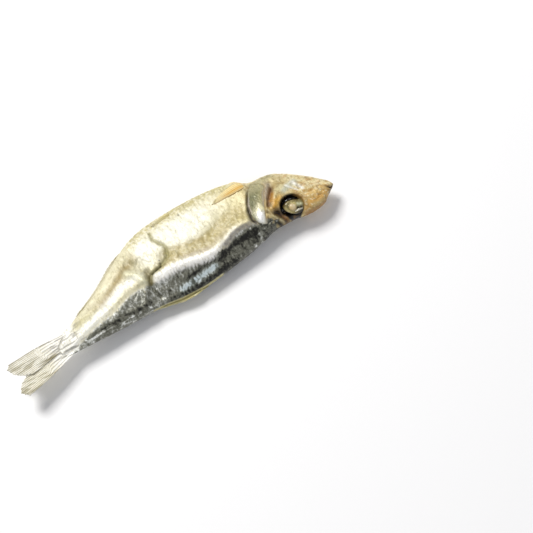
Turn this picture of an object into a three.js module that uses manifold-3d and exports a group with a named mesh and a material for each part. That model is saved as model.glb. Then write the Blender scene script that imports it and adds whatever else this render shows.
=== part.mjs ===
// A whole dried sprat, lying on its right flank. The snout points to +X, the belly to +Y and the
// left flank to +Z, so the fish rests on the tray at z = 0 and its back faces -Y. Millimetres.
//
// The body is one grown piece: a round skin drawn over a back line, a belly line and a thickness.
// The gill covers, eyeballs, eye lenses and fins are pieces of their own, each seated in a pocket
// that is the piece itself, grown by a seam.
import * as THREE from "three";
import { mergeVertices } from "three/addons/utils/BufferGeometryUtils.js";
import Module from "manifold-3d";

const wasm = await Module();
wasm.setup();

// Overall sizes.
const STANDARD_LENGTH = 97; // snout tip to the root of the tail fin
const HEAD_LENGTH = 25.5; // snout tip to the rear edge of the gill cover
const BODY_DEPTH = 26.7; // back to belly keel at the deepest place
const BODY_THICKNESS = 8.8; // flank to flank at the thickest place
const SEAM = 0.3; // clearance between two pieces that meet

// Head pieces.
const ORBIT_DIAMETER = 8.2;
const ORBIT_DEPTH = 2.2;
const ORBIT_RIM = 0.5; // cheek left between the orbit and the gill cover's pocket
const EYE_DIAMETER = 6.2;
const EYE_THICKNESS = 2.2;
const LENS_DIAMETER = 2.4;
const LENS_THICKNESS = 1.6;
const LENS_SUNK = 0.4; // depth of the lens's middle under the skin
const GILL_COVER_LENGTH = 11.4;
const GILL_COVER_HEIGHT = 17; // measured round the cheek
const GILL_COVER_THICKNESS = 1;
const GILL_SLIT = 0.6; // extra opening behind the rear edge of the cover
const MOUTH_LENGTH = 6;
const MOUTH_GAPE = 0.7;
const MOUTH_SLANT = 32; // degrees

// Fins. A blade's length is that of its first ray.
const FIN_THICKNESS = 0.7;
const FIN_TAPER = 0.4; // share of its thickness that a blade loses on the way to its tip
const TAIL_FIN_LENGTH = 15.6;
const TAIL_FORK_DEPTH = 4.2;
const TAIL_ROOT_HEIGHT = 5.6;
const TAIL_SPREAD = 7; // degrees between the middle ray and an outer ray
const TAIL_TILT = 8; // degrees that the fin hangs towards the back
const TAIL_TONGUE = 2.4; // how far the fin reaches into the body
const DORSAL_BASE = 10.5;
const DORSAL_RAY = 8;
const DORSAL_FOLD = 5; // degrees between a folded ray and the back
const ANAL_BASE = 19;
const ANAL_RAY = 3.4;
const ANAL_FOLD = 6; // degrees between a folded ray and the belly
const LAST_RAY = 0.65; // the rear ray of a folded fin, as a share of its first
const MEDIAN_ROOT = 0.7; // how deep a back or belly fin sits in the skin
const MEDIAN_RISE = 0.5; // how far it stands out of the skin before it lies back
const PECTORAL_LENGTH = 11.6;
const PECTORAL_WIDTH = 3.4;
const PELVIC_LENGTH = 7.6;
const PELVIC_WIDTH = 2;
const PAIRED_ROOT = 0.5; // how deep the root of a paired fin sits in the skin
const PAIRED_NARROW = 0.55; // width of a paired fin at its root, as a share of its width

// Places along the fish: 0 is the snout tip, 1 the rear edge of the gill cover, 2 the tail root.
const EYE_PLACE = 0.576;
const GILL_COVER_PLACE = 0.815;
const PECTORAL_PLACE = 0.965;
const PELVIC_PLACE = 1.305;
const DORSAL_PLACE = 1.335;
const ANAL_PLACE = 1.575;

// Heights across the fish, as shares of the body depth, from the snout tip towards the belly.
const EYE_RISE = 0.004;
const GILL_COVER_RISE = 0.18;
const PECTORAL_RISE_LEFT = 0.475;
const PECTORAL_RISE_RIGHT = 0.55; // folded closer to the belly, where the trunk is clear of the tray

// Smooth outlines: each row is [place, share]. The back and the belly line are shares of the
// body depth, the thickness is a share of the body thickness.
const BACK_LINE = [
  [0, -0.01], [0.06, -0.045], [0.15, -0.1], [0.2, -0.135], [0.3, -0.158], [0.45, -0.155],
  [0.66, -0.122], [0.95, -0.122], [1.1, -0.19], [1.2, -0.222], [1.33, -0.255], [1.43, -0.24],
  [1.55, -0.197], [1.7, -0.188], [1.85, -0.17], [2, -0.155],
];
const BELLY_LINE = [
  [0, 0.018], [0.03, 0.066], [0.09, 0.126], [0.18, 0.215], [0.36, 0.36], [0.56, 0.486],
  [0.68, 0.514], [0.84, 0.532], [0.95, 0.594], [1.07, 0.688], [1.2, 0.735], [1.36, 0.738],
  [1.48, 0.7], [1.58, 0.592], [1.7, 0.402], [1.8, 0.264], [1.9, 0.162], [2, 0.108],
];
const THICKNESS = [
  [0, 0.12], [0.08, 0.34], [0.2, 0.56], [0.4, 0.78], [0.6, 0.89], [0.8, 0.95], [1, 0.97],
  [1.15, 1], [1.3, 1], [1.42, 0.93], [1.56, 0.75], [1.7, 0.57], [1.83, 0.42], [2, 0.27],
];
// The middle plane's height over the tray, as shares of the body thickness: the trunk lies flat,
// and the head and the tail stand clear.
const MIDDLE_HEIGHT = [
  [0, 0.64], [0.4, 0.62], [0.8, 0.59], [1, 0.56], [1.18, 0.457], [1.3, 0.428], [1.45, 0.425],
  [1.6, 0.46], [1.8, 0.58], [2, 0.72], [2.22, 0.88],
];
const SHOULDER = 0.36; // how far the thickest place of a section stands towards the back

const LEFT = 1;
const RIGHT = -1;

const distanceAt = (place) =>
  place <= 1 ? place * HEAD_LENGTH : HEAD_LENGTH + (place - 1) * (STANDARD_LENGTH - HEAD_LENGTH);
const placeAt = (distance) =>
  distance <= HEAD_LENGTH
    ? distance / HEAD_LENGTH
    : 1 + (distance - HEAD_LENGTH) / (STANDARD_LENGTH - HEAD_LENGTH);

// A smooth curve through the rows of an outline, read at one place.
function read(outline, place) {
  const last = outline.length - 1;
  const x = THREE.MathUtils.clamp(place, outline[0][0], outline[last][0]);
  let i = 0;
  while (i < last - 1 && outline[i + 1][0] < x) i += 1;
  const slope = (k) => {
    const a = outline[Math.max(k - 1, 0)];
    const b = outline[Math.min(k + 1, last)];
    return (b[1] - a[1]) / (b[0] - a[0]);
  };
  const [x0, y0] = outline[i];
  const [x1, y1] = outline[i + 1];
  const t = (x - x0) / (x1 - x0);
  const rise = (x1 - x0) * (slope(i) * t * (1 - t) ** 2 - slope(i + 1) * t ** 2 * (1 - t));
  return y0 + (y1 - y0) * t * t * (3 - 2 * t) + rise;
}

const backLine = (distance) => BODY_DEPTH * read(BACK_LINE, placeAt(distance));
const bellyLine = (distance) => BODY_DEPTH * read(BELLY_LINE, placeAt(distance));
const middleHeight = (distance) => BODY_THICKNESS * read(MIDDLE_HEIGHT, placeAt(distance));

// A point of the skin. around is 0 on the back, a quarter turn on the left flank, a half turn on
// the belly keel. The lower flank is pressed flat where it would reach through the tray.
const WIDEST = 0.3; // cosine of the turn where a section is widest
const SHOULDER_SCALE = Math.sqrt(1 - WIDEST ** 2) * (1 + SHOULDER * WIDEST);

function skin(distance, around) {
  const back = backLine(distance);
  const belly = bellyLine(distance);
  const halfThickness = (BODY_THICKNESS / 2) * read(THICKNESS, placeAt(distance));
  const width = (Math.sin(around) * (1 + SHOULDER * Math.cos(around))) / SHOULDER_SCALE;
  return new THREE.Vector3(
    -distance,
    (back + belly) / 2 - ((belly - back) / 2) * Math.cos(around),
    Math.max(middleHeight(distance) + halfThickness * width, 0),
  );
}

// A point lifted square off the skin.
const STEP = 0.01;

function offSkin(distance, around, lift) {
  const here = skin(distance, around);
  const back = skin(distance + STEP, around).sub(here);
  const round = skin(distance, around + STEP).sub(here);
  return here.add(round.cross(back).normalize().multiplyScalar(lift));
}

// The turn at which the skin of one flank has the height y across the fish.
function aroundAt(distance, y, side) {
  const back = backLine(distance);
  const belly = bellyLine(distance);
  const share = THREE.MathUtils.clamp((back + belly - 2 * y) / (belly - back), -1, 1);
  return side * Math.acos(share);
}

// Moves every vertex of a geometry and keeps only its shared vertices.
function reshape(geometry, move) {
  geometry.deleteAttribute("normal");
  geometry.deleteAttribute("uv");
  const position = geometry.attributes.position;
  const vertex = new THREE.Vector3();
  for (let i = 0; i < position.count; i += 1) {
    vertex.fromBufferAttribute(position, i);
    position.setXYZ(i, ...move(vertex).toArray());
  }
  return mergeVertices(geometry, 1e-3);
}

function toSolid(geometry) {
  const mesh = new wasm.Mesh({
    numProp: 3,
    vertProperties: new Float32Array(geometry.attributes.position.array),
    triVerts: new Uint32Array(geometry.index.array),
  });
  return new wasm.Manifold(mesh);
}

function toGeometry(solid) {
  const mesh = solid.getMesh();
  const geometry = new THREE.BufferGeometry();
  geometry.setAttribute("position", new THREE.BufferAttribute(mesh.vertProperties, 3));
  geometry.setIndex(new THREE.BufferAttribute(mesh.triVerts, 1));
  geometry.computeVertexNormals();
  return geometry;
}

// Both sides share this: a mirrored side turns a closed surface inside out.
function facingOut(geometry) {
  const solid = toSolid(geometry);
  if (solid.volume() > 0) return solid;
  const turned = geometry.index.array;
  for (let i = 0; i < turned.length; i += 3) {
    [turned[i + 1], turned[i + 2]] = [turned[i + 2], turned[i + 1]];
  }
  return toSolid(geometry);
}

// The skin as a closed surface: a globe whose poles are the snout tip and the tail root.
const RINGS = 58;
const RING_POINTS = 34;

function bodySkin() {
  const globe = new THREE.SphereGeometry(1, RING_POINTS, RINGS);
  return facingOut(
    reshape(globe, (v) => {
      const distance = (STANDARD_LENGTH * (1 - v.y)) / 2;
      const ring = Math.hypot(v.x, v.z);
      if (ring > 1e-4) return skin(distance, Math.atan2(v.z, v.x));
      const back = skin(distance, 0);
      return back.add(skin(distance, Math.PI)).multiplyScalar(0.5);
    }),
  );
}

// The mouth: a slanting wedge, open at the snout.
function mouthCut() {
  const wedge = new THREE.BoxGeometry(1, 1, 1, 1, 1, 1);
  const slant = THREE.MathUtils.degToRad(MOUTH_SLANT);
  return facingOut(
    reshape(wedge, (v) => {
      const inward = MOUTH_LENGTH * (0.5 - v.x) - (v.x > 0 ? MOUTH_GAPE : 0);
      const gape = MOUTH_GAPE * (v.x > 0 ? 1 : 0.5) * v.y;
      return new THREE.Vector3(
        -inward * Math.cos(slant) + gape * Math.sin(slant),
        inward * Math.sin(slant) + gape * Math.cos(slant),
        middleHeight(0) + BODY_THICKNESS * v.z,
      );
    }),
  );
}

const eyeDistance = distanceAt(EYE_PLACE);
const eyeHeight = BODY_DEPTH * EYE_RISE;

// A round piece of the eye, lying square to the flank. sunk is its middle's depth under the skin.
function eyeRound(side, radius, halfThickness, sunk, segments) {
  const around = aroundAt(eyeDistance, eyeHeight, side);
  const surface = offSkin(eyeDistance, around, 0);
  return facingOut(
    reshape(new THREE.SphereGeometry(1, segments, segments / 2), (v) =>
      new THREE.Vector3(
        surface.x + radius * v.x,
        surface.y + radius * v.z,
        surface.z + side * (halfThickness * v.y - sunk),
      ),
    ),
  );
}

// The front edge of a gill cover curves round the orbit and leaves it a rim of the cheek.
const orbitRim = (side, grow) =>
  eyeRound(side, ORBIT_DIAMETER / 2 + ORBIT_RIM + grow, BODY_THICKNESS / 2, 0, 24);

const eyeSunk = ORBIT_DEPTH - SEAM - EYE_THICKNESS / 2;
const orbit = (side) => eyeRound(side, ORBIT_DIAMETER / 2, ORBIT_DEPTH, 0, 24);
const eyeball = (side) => eyeRound(side, EYE_DIAMETER / 2, EYE_THICKNESS / 2, eyeSunk, 20);
const lens = (side, grow) =>
  eyeRound(side, LENS_DIAMETER / 2 + grow, LENS_THICKNESS / 2 + grow, LENS_SUNK, 14);

// A gill cover: an oval plate bent onto the cheek. The slit widens its pocket behind it.
function gillPlate(side, grow, slit) {
  const middle = distanceAt(GILL_COVER_PLACE) + slit / 2;
  const halfLength = GILL_COVER_LENGTH / 2 + grow + slit / 2;
  const halfHeight = GILL_COVER_HEIGHT / 2 + grow;
  const halfThickness = GILL_COVER_THICKNESS / 2 + grow;
  return facingOut(
    reshape(new THREE.SphereGeometry(1, 28, 10), (v) => {
      const distance = middle + halfLength * v.x;
      const halfDepth = (bellyLine(distance) - backLine(distance)) / 2;
      const across = aroundAt(distance, BODY_DEPTH * GILL_COVER_RISE, side);
      const around = across + (side * halfHeight * v.z) / halfDepth;
      return offSkin(distance, around, halfThickness * v.y);
    }),
  );
}

const gillCover = (side) => gillPlate(side, 0, 0).subtract(orbitRim(side, SEAM));
const gillPocket = (side) => gillPlate(side, SEAM, GILL_SLIT).subtract(orbitRim(side, 0));

// A fin blade as a bent sheet: u runs out along a ray from 0 at the root, v runs across the rays
// and w through the thickness, both from -0.5 to 0.5.
function blade(uSteps, vSteps, place) {
  const sheet = new THREE.BoxGeometry(1, 1, 1, uSteps, vSteps, 1);
  return facingOut(reshape(sheet, (p) => place(p.x + 0.5, p.y, p.z)));
}

// The tail fin: rays fan out of the tail root, the middle ones shortest.
function tailFin(grow) {
  const rootHeight = (backLine(STANDARD_LENGTH) + bellyLine(STANDARD_LENGTH)) / 2;
  return blade(10, 10, (u, v, w) => {
    const turn = THREE.MathUtils.degToRad(TAIL_SPREAD * 2 * v - TAIL_TILT);
    const reach = TAIL_TONGUE + TAIL_FIN_LENGTH - TAIL_FORK_DEPTH * (1 - Math.abs(2 * v));
    const out = (reach + grow) * u - grow * (1 - u);
    const distance = STANDARD_LENGTH - TAIL_TONGUE + out * Math.cos(turn);
    return new THREE.Vector3(
      -distance,
      rootHeight + (TAIL_ROOT_HEIGHT + 2 * grow) * v + out * Math.sin(turn),
      middleHeight(distance) + w * (FIN_THICKNESS * (1 - FIN_TAPER * u) + 2 * grow),
    );
  });
}

// A point of a fin that is folded down along the back or the belly line. The rays stand upright in
// the skin and lie back from there. out is -1 on the back and 1 on the belly.
const UPRIGHT = 0.2; // share of a ray that stands upright at its root

function foldedFin(place, base, ray, fold, line, out) {
  const lean = THREE.MathUtils.degToRad(fold);
  return blade(10, 10, (u, v, w) => {
    const share = v + 0.5;
    const upright = Math.min(u / UPRIGHT, 1);
    const length = ray * THREE.MathUtils.lerp(1, LAST_RAY, share);
    const lying = (length * Math.max(u - UPRIGHT, 0)) / (1 - UPRIGHT);
    const distance = distanceAt(place) + base * share + lying * Math.cos(lean);
    const height = (MEDIAN_ROOT + MEDIAN_RISE) * upright - MEDIAN_ROOT + lying * Math.sin(lean);
    return new THREE.Vector3(
      -distance,
      line(distance) + out * height,
      middleHeight(distance) + w * FIN_THICKNESS * (1 - FIN_TAPER * u),
    );
  });
}

// The slot along the back or the belly in which a folded fin's root stands.
function finSlot(place, base, line, out) {
  return blade(2, 10, (u, v, w) => {
    const distance = distanceAt(place) + base / 2 + (base + 2 * SEAM) * v;
    const height = (MEDIAN_ROOT + SEAM) * (2 * u - 1);
    return new THREE.Vector3(
      -distance,
      line(distance) + out * height,
      middleHeight(distance) + w * (FIN_THICKNESS + 2 * SEAM),
    );
  });
}

// A paired fin laid back on the flank: its root dips into the skin and its blade lies clear of it.
// Like the skin, it is pressed flat where it would reach through the tray.
const LYING = FIN_THICKNESS / 2 + 2 * SEAM;
const ROOT_RUN = [0.6, 3.6]; // where the fin comes out of the skin, from its front edge

function laidFin(side, place, y, length, width, grow) {
  const start = distanceAt(place);
  return blade(12, 4, (u, v, w) => {
    const run = (length + 2 * grow) * u - grow;
    const opened = THREE.MathUtils.smoothstep(run, 0, length * 0.6);
    const spread = width * THREE.MathUtils.lerp(PAIRED_NARROW, 1, opened);
    const across = y(start + run) + (spread + 2 * grow) * v;
    const risen = THREE.MathUtils.smoothstep(run, ...ROOT_RUN);
    const lift = THREE.MathUtils.lerp(-PAIRED_ROOT, LYING, risen);
    const thickness = FIN_THICKNESS * (1 - (FIN_TAPER * run) / length) + 2 * grow;
    const around = aroundAt(start + run, across, side);
    const point = offSkin(start + run, around, lift + w * thickness);
    point.z = Math.max(point.z, 0);
    return point;
  });
}

const dorsalFin = () =>
  foldedFin(DORSAL_PLACE, DORSAL_BASE, DORSAL_RAY, DORSAL_FOLD, backLine, -1);
const dorsalSlot = () => finSlot(DORSAL_PLACE, DORSAL_BASE, backLine, -1);
const analFin = () => foldedFin(ANAL_PLACE, ANAL_BASE, ANAL_RAY, ANAL_FOLD, bellyLine, 1);
const analSlot = () => finSlot(ANAL_PLACE, ANAL_BASE, bellyLine, 1);

const pelvicHeight = (distance) => bellyLine(distance) - PELVIC_WIDTH;

function pectoralFin(side, grow) {
  const height = BODY_DEPTH * (side === LEFT ? PECTORAL_RISE_LEFT : PECTORAL_RISE_RIGHT);
  return laidFin(side, PECTORAL_PLACE, () => height, PECTORAL_LENGTH, PECTORAL_WIDTH, grow);
}

const pelvicFin = (side, grow) =>
  laidFin(side, PELVIC_PLACE, pelvicHeight, PELVIC_LENGTH, PELVIC_WIDTH, grow);

// The body, with a pocket for every piece that it holds.
function body() {
  let solid = bodySkin().subtract(mouthCut());
  for (const side of [LEFT, RIGHT]) {
    solid = solid.subtract(orbit(side));
    solid = solid.subtract(gillPocket(side));
    solid = solid.subtract(pectoralFin(side, SEAM));
    solid = solid.subtract(pelvicFin(side, SEAM));
  }
  return solid.subtract(tailFin(SEAM)).subtract(dorsalSlot()).subtract(analSlot());
}

const skinMaterial = new THREE.MeshStandardMaterial({
  color: 0xd9d3bd,
  roughness: 0.38,
  metalness: 0.35,
});
const gillMaterial = new THREE.MeshStandardMaterial({
  color: 0xb9b59a,
  roughness: 0.35,
  metalness: 0.4,
});
const finMaterial = new THREE.MeshStandardMaterial({
  color: 0xcdb579,
  roughness: 0.6,
  metalness: 0.05,
});
const eyeMaterial = new THREE.MeshStandardMaterial({
  color: 0x4d4630,
  roughness: 0.3,
  metalness: 0.1,
});
const lensMaterial = new THREE.MeshStandardMaterial({
  color: 0xe6dcc4,
  roughness: 0.45,
  metalness: 0,
});

const fish = new THREE.Group();

function add(name, solid, material) {
  const mesh = new THREE.Mesh(toGeometry(solid), material);
  mesh.name = name;
  fish.add(mesh);
}

add("body", body(), skinMaterial);
add("tail_fin", tailFin(0), finMaterial);
add("dorsal_fin", dorsalFin(), finMaterial);
add("anal_fin", analFin(), finMaterial);
for (const [name, side] of [["left", LEFT], ["right", RIGHT]]) {
  add(`gill_cover_${name}`, gillCover(side), gillMaterial);
  add(`pectoral_fin_${name}`, pectoralFin(side, 0), finMaterial);
  add(`pelvic_fin_${name}`, pelvicFin(side, 0), finMaterial);
  add(`eyeball_${name}`, eyeball(side).subtract(lens(side, SEAM)), eyeMaterial);
  add(`eye_lens_${name}`, lens(side, 0), lensMaterial);
}

// The origin is the middle of the fish's outline, on the tray.
const middle = new THREE.Box3().setFromObject(fish, true).getCenter(new THREE.Vector3());
fish.position.set(-middle.x, -middle.y, 0);

export default fish;
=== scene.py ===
# %% [markdown]
# # A dried sprat
# A sprat is a small silver relative of the herring. This one was dried whole, and lies on its right
# flank with the belly at +Y, the back at -Y and the snout at +X. Drying pulls the skin tight over the
# flesh, so most of the fish's character is in its skin: a bright flank, a sunken blue-grey back under
# a sharp ridge, a deep buckle where the tail bent up, and hollows round the eye.
#
# The measured model is loaded first and stays as it is. Each of its pieces is then replaced by a finer
# mesh that is drawn over the same lines.

# %% Load the measured model
import math

import bmesh
import bpy
import numpy as np
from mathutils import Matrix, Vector, noise


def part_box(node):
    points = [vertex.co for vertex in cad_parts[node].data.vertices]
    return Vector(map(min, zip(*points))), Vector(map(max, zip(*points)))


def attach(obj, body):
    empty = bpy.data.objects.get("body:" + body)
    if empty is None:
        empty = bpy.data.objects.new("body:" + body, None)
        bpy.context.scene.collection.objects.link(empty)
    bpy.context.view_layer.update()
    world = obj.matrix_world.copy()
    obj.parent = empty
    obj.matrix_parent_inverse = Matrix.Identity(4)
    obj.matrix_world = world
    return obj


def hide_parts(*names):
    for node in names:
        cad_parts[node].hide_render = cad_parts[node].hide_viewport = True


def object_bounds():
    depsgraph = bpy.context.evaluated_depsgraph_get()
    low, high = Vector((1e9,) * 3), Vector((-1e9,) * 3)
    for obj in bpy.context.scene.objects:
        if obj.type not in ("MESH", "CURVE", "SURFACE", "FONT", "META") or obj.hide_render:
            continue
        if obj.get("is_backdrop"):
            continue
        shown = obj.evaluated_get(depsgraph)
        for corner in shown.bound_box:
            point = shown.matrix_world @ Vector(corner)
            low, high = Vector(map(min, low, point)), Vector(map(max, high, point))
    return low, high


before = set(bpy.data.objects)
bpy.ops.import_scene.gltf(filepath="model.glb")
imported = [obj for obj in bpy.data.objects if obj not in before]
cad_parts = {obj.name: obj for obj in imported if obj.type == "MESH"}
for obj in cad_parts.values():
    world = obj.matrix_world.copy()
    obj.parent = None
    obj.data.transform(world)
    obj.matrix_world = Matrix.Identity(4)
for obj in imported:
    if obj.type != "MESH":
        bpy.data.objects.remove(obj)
measured_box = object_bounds()
print("measured pieces:", sorted(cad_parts))

# %% [markdown]
# ## Camera, floor and light
# A small thing is photographed from above with a long lens, so that it isn't distorted. The camera
# stands on a ring round the fish, given by an angle along the floor and an angle above it, as a
# camera arm would be set. The fish isn't in the middle of the picture: the camera aims beside it.

# %% Camera
MM = 0.001
CAMERA_AZIMUTH = math.radians(-32.3)
CAMERA_ELEVATION = math.radians(72)
CAMERA_DISTANCE = 355.5 * MM
AIM = Vector((25.15, -16.71, 4.0)) * MM

toward_camera = Vector((
    math.sin(CAMERA_AZIMUTH) * math.cos(CAMERA_ELEVATION),
    -math.cos(CAMERA_AZIMUTH) * math.cos(CAMERA_ELEVATION),
    math.sin(CAMERA_ELEVATION),
))
camera = bpy.data.objects.new("camera", bpy.data.cameras.new("camera"))
camera.data.lens = 80
camera.data.clip_start = 0.01
camera.location = AIM + CAMERA_DISTANCE * toward_camera
camera.rotation_euler = toward_camera.to_track_quat("Z", "Y").to_euler()
bpy.context.collection.objects.link(camera)
bpy.context.scene.camera = camera
print("camera at", [round(v, 3) for v in camera.location])

# %% [markdown]
# The floor is a plain pale table. One large soft lamp stands behind the fish on the left, a weaker one
# fills the near side, and a pale sky closes the shadows. Silver skin shows what is round it, so both
# lamps are wide: their reflections are soft bands and not hard spots.

# %% Floor, lamps and sky
picture_right = Vector((math.cos(CAMERA_AZIMUTH), math.sin(CAMERA_AZIMUTH), 0))
picture_up = Vector((-math.sin(CAMERA_AZIMUTH), math.cos(CAMERA_AZIMUTH), 0))


def plain_material(name, colour, roughness):
    material = bpy.data.materials.new(name)
    material.use_nodes = True
    shader = material.node_tree.nodes["Principled BSDF"]
    shader.inputs["Base Color"].default_value = (*colour, 1)
    shader.inputs["Roughness"].default_value = roughness
    return material


def add_floor(size):
    shape = bmesh.new()
    bmesh.ops.create_grid(shape, x_segments=1, y_segments=1, size=size / 2)
    mesh = bpy.data.meshes.new("floor")
    shape.to_mesh(mesh)
    shape.free()
    floor = bpy.data.objects.new("floor", mesh)
    floor.data.materials.append(plain_material("pale table", (0.97, 0.97, 0.98), 0.7))
    bpy.context.collection.objects.link(floor)
    floor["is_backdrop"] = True


def add_lamp(name, right, up, height, size, watts, colour):
    """A square soft lamp, placed by the picture's own right and up, aimed at the fish."""
    place = right * picture_right + up * picture_up + Vector((0, 0, height))
    lamp = bpy.data.objects.new(name, bpy.data.lights.new(name, "AREA"))
    lamp.data.size = size
    lamp.data.energy = watts
    lamp.data.color = colour
    lamp.location = place
    lamp.rotation_euler = place.to_track_quat("Z", "Y").to_euler()
    bpy.context.collection.objects.link(lamp)


add_floor(6)
add_lamp("key", right=-0.4, up=0.38, height=0.74, size=0.32, watts=7.6, colour=(1, 0.985, 0.955))
add_lamp("fill", right=0.7, up=-0.5, height=0.6, size=0.8, watts=1.2, colour=(0.95, 0.97, 1))

world = bpy.data.worlds.new("sky")
world.use_nodes = True
world.node_tree.nodes["Background"].inputs["Color"].default_value = (0.96, 0.97, 1, 1)
world.node_tree.nodes["Background"].inputs["Strength"].default_value = 0.37
bpy.context.scene.world = world
bpy.context.scene.view_settings.view_transform = "Standard"

# %% [markdown]
# ## The fish's own measures
# A place on the fish is given the way a fishmonger would point at it: how far it is behind the snout,
# in millimetres, and how high it is on the flank, counted from the snout's level towards the belly.
# These outlines are those of the measured model. Each row is a place and a share, where place 0 is the
# snout tip, 1 the rear edge of the gill cover and 2 the root of the tail fin.

# %% Outlines
STANDARD_LENGTH = 97
HEAD_LENGTH = 25.5
BODY_DEPTH = 26.7
BODY_THICKNESS = 8.8
SHOULDER = 0.36
WIDEST = 0.3

BACK_LINE = [
    (0, -0.01), (0.06, -0.045), (0.15, -0.1), (0.2, -0.135), (0.3, -0.158), (0.45, -0.155),
    (0.66, -0.122), (0.95, -0.122), (1.1, -0.19), (1.2, -0.222), (1.33, -0.255), (1.43, -0.24),
    (1.55, -0.197), (1.7, -0.188), (1.85, -0.17), (2, -0.155),
]
BELLY_LINE = [
    (0, 0.018), (0.03, 0.066), (0.09, 0.126), (0.18, 0.215), (0.36, 0.36), (0.56, 0.486),
    (0.68, 0.514), (0.84, 0.532), (0.95, 0.594), (1.07, 0.688), (1.2, 0.735), (1.36, 0.738),
    (1.48, 0.7), (1.58, 0.592), (1.7, 0.402), (1.8, 0.264), (1.9, 0.162), (2, 0.108),
]
THICKNESS = [
    (0, 0.12), (0.08, 0.34), (0.2, 0.56), (0.4, 0.78), (0.6, 0.89), (0.8, 0.95), (1, 0.97),
    (1.15, 1), (1.3, 1), (1.42, 0.93), (1.56, 0.75), (1.7, 0.57), (1.83, 0.42), (2, 0.27),
]
MIDDLE_HEIGHT = [
    (0, 0.64), (0.4, 0.62), (0.8, 0.59), (1, 0.56), (1.18, 0.457), (1.3, 0.428), (1.45, 0.425),
    (1.6, 0.46), (1.8, 0.58), (2, 0.72), (2.22, 0.88),
]


def smooth_read(rows, x):
    """The smooth curve through rows of (place, value), read at every x of an array."""
    places, values = (np.array(column, float) for column in zip(*rows))
    x = np.clip(x, places[0], places[-1])
    i = np.clip(np.searchsorted(places, x) - 1, 0, len(places) - 2)
    ahead = np.r_[1:len(places), len(places) - 1]
    behind = np.r_[0, 0:len(places) - 1]
    slope = (values[ahead] - values[behind]) / (places[ahead] - places[behind])
    step = places[i + 1] - places[i]
    t = (x - places[i]) / step
    curve = values[i] + (values[i + 1] - values[i]) * t * t * (3 - 2 * t)
    return curve + step * (slope[i] * t * (1 - t) ** 2 - slope[i + 1] * t ** 2 * (1 - t))


def place_at(d):
    tail = 1 + (d - HEAD_LENGTH) / (STANDARD_LENGTH - HEAD_LENGTH)
    return np.where(d < HEAD_LENGTH, d / HEAD_LENGTH, tail)


def back_line(d):
    return BODY_DEPTH * smooth_read(BACK_LINE, place_at(d))


def belly_line(d):
    return BODY_DEPTH * smooth_read(BELLY_LINE, place_at(d))


def middle_height(d):
    return BODY_THICKNESS * smooth_read(MIDDLE_HEIGHT, place_at(d))


EYE_HEIGHT = -0.11
SNOUT_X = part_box("body")[1].x / MM
LINE_Y = (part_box("eyeball_left")[0].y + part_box("eyeball_left")[1].y) / 2 / MM - EYE_HEIGHT
print(f"snout at x {SNOUT_X:.2f} mm, snout's level at y {LINE_Y:.2f} mm")

# %% [markdown]
# The skin is drawn by two numbers: d, the millimetres behind the snout, and around, the turn about the
# fish's length, which is 0 on the back, a quarter turn on the left flank and a half turn on the keel.
# Arrays are used in place of single points, so one line of arithmetic moves the whole skin.

# %% The smooth skin
SHOULDER_SCALE = math.sqrt(1 - WIDEST ** 2) * (1 + SHOULDER * WIDEST)


def smooth_skin(d, around, closing=1.0):
    """Points of the undried skin. closing draws a section together at the two ends of the fish."""
    back, belly = back_line(d), belly_line(d)
    half_thickness = closing * BODY_THICKNESS / 2 * smooth_read(THICKNESS, place_at(d))
    width = np.sin(around) * (1 + SHOULDER * np.cos(around)) / SHOULDER_SCALE
    x = SNOUT_X - d
    y = LINE_Y + (back + belly) / 2 - closing * (belly - back) / 2 * np.cos(around)
    z = np.maximum(middle_height(d) + half_thickness * width, 0)
    return np.stack([x, y, z], axis=-1)


def skin_normal(d, around, step=0.02):
    length = smooth_skin(d + step, around) - smooth_skin(d - step, around)
    girth = smooth_skin(d, around + step) - smooth_skin(d, around - step)
    normal = np.cross(girth, length)
    return normal / np.maximum(np.linalg.norm(normal, axis=-1, keepdims=True), 1e-9)


def height_at(d, around):
    back, belly = back_line(d), belly_line(d)
    return (back + belly) / 2 - (belly - back) / 2 * np.cos(around)


def around_at(d, height, side):
    """The turn where a flank has this height. side is 1 on the left flank and -1 on the right."""
    back, belly = back_line(d), belly_line(d)
    share = np.clip((height - back) / (belly - back), 0.002, 0.998)
    return side * np.arccos(1 - 2 * share)


def on_skin(d, height, side, lift):
    """Points that stand off the smooth skin by lift millimetres, never under the table."""
    around = around_at(d, height, side)
    points = smooth_skin(d, around) + np.asarray(lift)[..., None] * skin_normal(d, around)
    points[..., 2] = np.maximum(points[..., 2], 0.02)
    return points


# %% [markdown]
# Folds, edges and stains run along lines on the flank. A line is a few points, each a distance behind
# the snout and a height, and what matters is how far each bit of skin is from it.

# %% Lines on the flank
def distance_to(line, d, height):
    """Millimetres from each place on the flank to a line of (behind snout, height)."""
    corners = np.array(line, float)
    here = np.stack([d, height], axis=-1)
    nearest = np.full(d.shape, 1e9)
    for start, end in zip(corners[:-1], corners[1:]):
        span = end - start
        run = np.clip(((here - start) @ span) / (span @ span), 0, 1)
        gap = np.linalg.norm(here - start - run[..., None] * span, axis=-1)
        nearest = np.minimum(nearest, gap)
    return nearest


def bell(x, width):
    return np.exp(-((x / width) ** 2))


def ease(start, end, x):
    t = np.clip((x - start) / (end - start), 0, 1)
    return t * t * (3 - 2 * t)


def band(start, end, x, soft=2):
    """1 between start and end, fading over soft millimetres outside them."""
    return ease(start - soft, start, x) * (1 - ease(end, end + soft, x))


def grain(points, size, seed, depth=3):
    """Smooth random relief from -1 to 1 at every point of an array, in lumps of that size in mm."""
    shift = Vector((seed * 17.3, seed * 5.1, seed * 9.7))
    values = [noise.fractal(Vector(p) / size + shift, 1.0, 2.0, depth) for p in points]
    return np.clip(np.array(values), -1, 1)


def patches(points, size, seed):
    """The same random lumps as shares from 0 to 1."""
    return 0.5 + 0.5 * grain(points, size, seed)


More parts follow.
